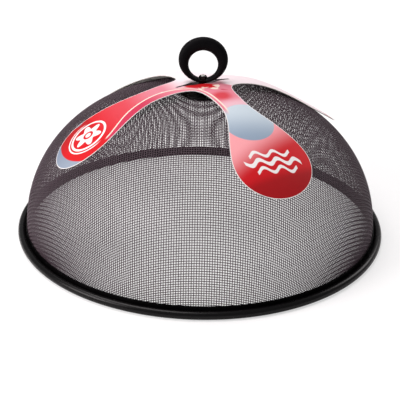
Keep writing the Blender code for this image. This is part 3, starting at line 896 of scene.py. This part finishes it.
class CardPrint(Finish):
    """The card's print, laid down area by area, in millimetres along and across its arms.

    A ramp's two numbers say where its soft step starts and ends. An oval's four numbers are its middle
    along and across an arm and its half sizes.
    """

    def __init__(self):
        super().__init__("printed_board", shine=0.12)
        self.flat = self.node("ShaderNodeAttribute", "Vector", {"attribute_name": "card_place"})
        self.x = self.node("ShaderNodeSeparateXYZ", 0, None, {0: self.flat}) / mm
        self.y = self.node("ShaderNodeSeparateXYZ", 1, None, {0: self.flat}) / mm
        self.margin = self.node("ShaderNodeAttribute", "Fac", {"attribute_name": "card_margin"}) / mm
        self.middle = (self.x * self.x + self.y * self.y).root()
        self.slit, self.right, self.left = (Arm(self.x, self.y, degrees) for degrees in
                                            (slit_direction, front_right_arm, front_left_arm))
        self.colour = blush

    def layers(self, colour, *pairs):
        """A colour with others over it, each where its share is 1."""
        for share, over in pairs:
            colour = self.blend(share, colour, over)
        return colour

    def lay(self, *pairs):
        """More layers on the card."""
        self.colour = self.layers(self.colour, *pairs)

    def own_part(self, arm, near, far):
        """1 on one arm, past a soft step round the handle."""
        return (arm.along - abs(arm.across) * 0.9).ramp(2, 6) * self.middle.ramp(near, far)

    def lay_ground(self):
        """White at the back and at the handle, pink at the front and red towards the ends."""
        self.lay((self.slit.across.ramp(-10, 3), pale),
                 (self.left.along.ramp(12, 34), neck_pink),
                 (self.middle.ramp(36, 66), coral),
                 (self.middle.ramp(62, 96), red))

    def lay_petals(self):
        """Red petals in front of the slit, with pale strokes between them."""
        front = 1 - self.slit.across.ramp(-1, 2)
        petal = Arm(self.x, self.y, 5.0).oval(-1.5, -8.5, 14, 5)
        self.lay(((1 - petal.ramp(0.85, 1.05)) * front, red))
        level = Arm(self.x, self.y, 0.0)
        for oval, colour in (((-13, -15, 4.0, 1.8), red), ((17, -14, 3.5, 1.2), magenta),
                             ((9, -13.5, 3.2, 1.5), cream)):
            self.lay((level.oval(*oval).ramp(1.15, 0.85), colour))
        strokes = self.node("ShaderNodeTexNoise", "Fac", None,
                            {"Vector": self.flat, "Scale": 1 / (9 * mm), "Detail": 1.0, "Distortion": 1.2})
        near_slit = 1 - self.slit.oval(2, -13, 18, 4).ramp(0.8, 1.1)
        self.lay((strokes.ramp(0.42, 0.38) * near_slit, cream))

    def lay_right_arm(self):
        """Coral patch, grey-blue oval with painted shade darkening it towards the arm's end, red below it
        and a deep red end with the waves.
        """
        right, along, across = self.right, self.right.along, self.right.across
        below = self.layers(panel_pink, ((along + across * 0.3).ramp(74, 98), red),
                            (along.ramp(107, 116), deep_red))
        # Painted shade: the blue oval darkens from its top towards the arm's end
        panel_with_painted_shade = self.blend((along - across * 0.3).ramp(48, 80), panel_blue_lit, panel_blue_shaded)
        arm = self.layers(blush, (right.oval(28, -1, 9, 10).ramp(1.1, 0.3), coral),
                          (along.ramp(32, 41), arm_pink),
                          (along.ramp(54, 64), below),
                          (right.oval(61.5, 0.5, 18.8, 20.5).ramp(1.015, 0.985), panel_with_painted_shade),
                          (self.waves(), white))
        self.lay((self.own_part(right, 18, 26), arm))

    def lay_line(self):
        """Cream line round the front arch and down the left arm, with a darker strip outside it."""
        left, right = self.left, self.right
        arch = left.across.ramp(-1, 1) * right.across.ramp(1, -1)
        arch = arch * left.along.ramp(93, 89) * right.along.ramp(52, 42)
        gap = 3.2 + 5 * left.along.ramp(8, 40) - 4.2 * left.along.ramp(62, 92)
        strip = self.blend(left.along.ramp(20, 56), blush, magenta)
        self.lay((arch * (self.margin - gap).ramp(0.3, -0.3), strip),
                 (arch * abs(self.margin - gap).ramp(0.9, 0.45), cream))

    def lay_left_arm(self):
        """Red disc on a grey-blue end, with the flower."""
        left = self.left
        grey = self.blend(left.across.ramp(-24, 24), dark_grey, mid_grey)
        arm = self.layers(deep_red, (left.across.ramp(-26, 6), red),
                          (left.oval(84, -2.6, 39.3, 39.3).ramp(1.0, 1.02), grey),
                          (left.oval(98, -27.5, 5, 4).ramp(1.0, 0.9), grey))
        self.lay((left.along.ramp(88, 92), arm), (self.flower(), white))

    def lay_back_arms(self):
        """White as far as they show over the crown."""
        for degrees, end, start in ((back_right_arm, 128, 108), (back_left_arm, 112, 86)):
            arm = Arm(self.x, self.y, degrees)
            self.lay((self.own_part(arm, 12, 20) * arm.along.ramp(end, start), pale))

    def lay_edges_and_slit_shade(self):
        """White cut at the card's edge, and painted shade along the slit: a dark line on its edges and cut
        faces but for its middle.
        """
        along = abs(self.slit.along)
        share = (self.slit.along / (slit_half_length / mm)).least(1.0).most(-1.0)
        # Painted shade: dark along the slit's edges, where its opening shows dark
        painted_slit_shade = abs(self.slit.across) - (1 - share * share) ** slit_sharpness * (slit_half_width / mm)
        painted_slit_shade = painted_slit_shade.ramp(1.2, 0.9) * along.ramp(24, 22) * along.ramp(5, 9)
        self.lay((self.margin.ramp(0.6, 0.3), white), (painted_slit_shade, slit_shade_colour))

    def waves(self):
        """Three white waves, one above the other, across the front right arm."""
        ripple, swing, slant = 0.42, 2.2, 0.18
        across = self.right.across
        wave = (across * ripple).sine() * swing + self.right.along - across * slant
        strokes = [(1 - abs(wave - height).ramp(half_width, half_width + 0.5))
                   * (1 - abs(across).ramp(half_length, half_length + 0.8))
                   for height, half_length, half_width in ((93, 17, 1.1), (100, 23, 1.5), (107, 17, 1.1))]
        return strokes[0].most(strokes[1]).most(strokes[2])

    def flower(self):
        """White outline of a six-petalled flower with rings round it, on the front left arm."""
        along, across = self.left.along - 99, self.left.across - 1
        radius = (along * along + across * across).root()
        turn = along.maths("ARCTAN2", across, along)
        edge = 9.5 + 2.6 * (turn * 6).sine()
        petals = (1 - (radius - edge).ramp(0.0, 0.5)) * radius.ramp(4.2, 4.7)
        seed = 1 - radius.ramp(2.2, 2.7)
        ring = 1 - abs(radius - 15.0).ramp(0.7, 1.2)
        outer = (1 - abs(radius - 18.0).ramp(0.35, 0.8)) * along.ramp(-6, 2)
        return petals.most(seed).most(ring).most(outer)


def printed_board():
    """The card's print: a pale middle, red arms, grey-blue panels and plain white motifs, with painted shade
    along the slit and on the front right arm's blue oval.
    """
    card = CardPrint()
    card.lay_ground()
    card.lay_petals()
    card.lay_right_arm()
    card.lay_line()
    card.lay_left_arm()
    card.lay_back_arms()
    card.lay_edges_and_slit_shade()
    ink = card.grain(0.25 * mm, 1.0, card.flat)
    clouds = card.grain(30 * mm, 2.0, card.flat)
    card.feed("Base Color", card.blend(0.10 * ink, card.colour, card.blend(0.5, card.colour, ink_shadow)))
    card.feed("Roughness", 0.42 + 0.10 * clouds + 0.06 * ink)
    card.relief(card.grain(3.5 * mm, 2.0, card.flat), 0.03 * mm, 0.35)
    return card.material


# The pieces


def make_cloth(line, paint):
    """The wire cloth, each set of wires in four lots."""
    lots = 4
    for kind, runs in zip(("warp", "weft"), cloth_runs(line)):
        sizes = np.cumsum([len(run[0]) for run in runs])
        lot_of = np.minimum((sizes - 1) * lots // sizes[-1], lots - 1)
        for lot in range(lots):
            chosen = [run for run, mine in zip(runs, lot_of) if mine == lot]
            name = f"cloth_{kind}_{lot + 1}"
            new_piece(name, tube_mesh(name, chosen), "mesh_dome", [paint])


def make_pieces():
    """Every visible piece, with the node that it stands for."""
    paint, wire, plastic = gloss_paint(), wire_paint(), moulded_plastic()
    zinc, board, print_ = plated_zinc(), bare_board(), printed_board()
    make_cloth(Meridian(cloth_thickness / 2), wire)
    hoop = turned("hoop", hoop_outline(), hoop_steps, closed=True)
    new_piece("hoop", hoop, "rim_hoop", [paint])
    plates = (("washer_under_crown", "inner_washer", washer_low, washer_high, 0.3 * mm, 96),
              ("crown_disc", "top_disc", disc_low, disc_high, 0.5 * mm, 128),
              ("washer_under_nut", "nut_washer", nut_washer_low, nut_washer_high, 0.2 * mm, 64))
    for name, node, low, high, edge_round, steps in plates:
        plate = turned(name, plate_outline(low, high, edge_round), steps, closed=True)
        new_piece(name, plate, node, [paint])
    new_piece("screw", threaded_screw(), "handle_screw", [zinc])
    new_piece("nut", hexagon_nut(), "handle_nut", [paint])
    new_piece("ring", ring_handle(), "handle_ring", [plastic])
    new_piece("card_sheet", bent_card(Meridian(0.0)), "label_card", [print_, board],
              body="card")


# Studio

warm_light = (1.0, 0.94, 0.95)
# Name, place, height of its aim on the axis, size in metres and watts
lamps = (("overhead", (-0.42, 0.14, 1.4), 0.05, (1.0, 0.9), 14.0),
         ("left_front", (-1.15, -0.5, 0.7), 0.06, (0.7, 0.7), 12.0),
         ("right_back", (0.9, 0.7, 0.8), 0.06, (0.6, 0.6), 4.0))


def make_floor():
    """Wide pale table whose shadow shows softly against a white backdrop."""
    radius, steps = 4.0, 96
    near_glow, near, far = 0.45, 0.3, 0.8
    angles = [math.tau * step / steps for step in range(steps)]
    corners = [(radius * math.cos(angle), radius * math.sin(angle), 0.0) for angle in angles]
    mesh = mesh_from("table", corners, [tuple(range(steps))])
    floor = placed("table", mesh)
    table = Finish("table_white", shine=0.1)
    table.shader.inputs["Base Color"].default_value = (0.88, 0.88, 0.88, 1.0)
    table.shader.inputs["Roughness"].default_value = 0.9
    reach = table.node("ShaderNodeVectorMath", "Value", {"operation": "LENGTH"}, {0: table.place()})
    share = near_glow + (1 - near_glow) * reach.ramp(near, far)
    seen = table.node("ShaderNodeLightPath", "Is Camera Ray") * share
    glow = table.node("ShaderNodeEmission", 0, None, {"Color": (1.0, 1.0, 1.0, 1.0), "Strength": 1.2})
    matt = Level(table.tree, table.shader.outputs[0])
    mixed = table.node("ShaderNodeMixShader", 0, None, {0: seen, 1: matt, 2: glow})
    table.tree.links.new(mixed.socket, table.tree.nodes["Material Output"].inputs["Surface"])
    mesh.materials.append(table.material)


def make_world():
    """White where the camera looks past the table, and softer as light."""
    world = bpy.data.worlds.new("studio")
    bpy.context.scene.world = world
    air = Wiring(world)
    as_light = 0.32
    strength = air.node("ShaderNodeLightPath", "Is Camera Ray") * (1 - as_light) + as_light
    ground = air.tree.nodes["Background"]
    ground.inputs["Color"].default_value = (1.0, 1.0, 1.0, 1.0)
    air.tree.links.new(strength.socket, ground.inputs["Strength"])


def soft_light(name, place, aim_height, size, watts):
    """Wide lamp aimed at the axis, with light that is a little warm, as in the photograph."""
    light = bpy.data.lights.new(name, "AREA")
    light.color = warm_light
    light.shape = "RECTANGLE"
    light.size, light.size_y = size
    light.energy = watts
    lamp = placed(name, light)
    lamp.location = place
    lamp.rotation_mode = "QUATERNION"
    aim = Vector((0, 0, aim_height)) - Vector(place)
    lamp.rotation_quaternion = aim.to_track_quat("-Z", "Y")


def make_camera():
    """The photograph's viewpoint: 0.8 m away, 26 degrees up, with the camera rolled a little."""
    distance, elevation, roll = 0.8, math.radians(26.15), math.radians(1.15)
    aim_height, offset = 21.11 * mm, -0.8 * mm
    sensor_width, focal_length, picture_shift = 36.0, 86.787, 0.55 / 400
    camera = placed("camera", bpy.data.cameras.new("camera"))
    camera.data.sensor_width = sensor_width
    camera.data.lens = focal_length
    camera.data.shift_x = picture_shift
    forward = Vector((0, math.cos(elevation), -math.sin(elevation)))
    right, up = Vector((1, 0, 0)), Vector((0, math.sin(elevation), math.cos(elevation)))
    side = right * math.cos(roll) + up * math.sin(roll)
    top = up * math.cos(roll) - right * math.sin(roll)
    turn = Matrix((side, top, -forward)).transposed()
    place = Vector((offset, 0, aim_height)) - forward * distance
    camera.matrix_world = Matrix.Translation(place) @ turn.to_4x4()
    camera.data.clip_start, camera.data.clip_end = 0.05, 20.0
    bpy.context.scene.camera = camera


make_pieces()
make_floor()
make_world()
for lamp in lamps:
    soft_light(*lamp)
make_camera()
bpy.context.scene.view_settings.view_transform = "Standard"
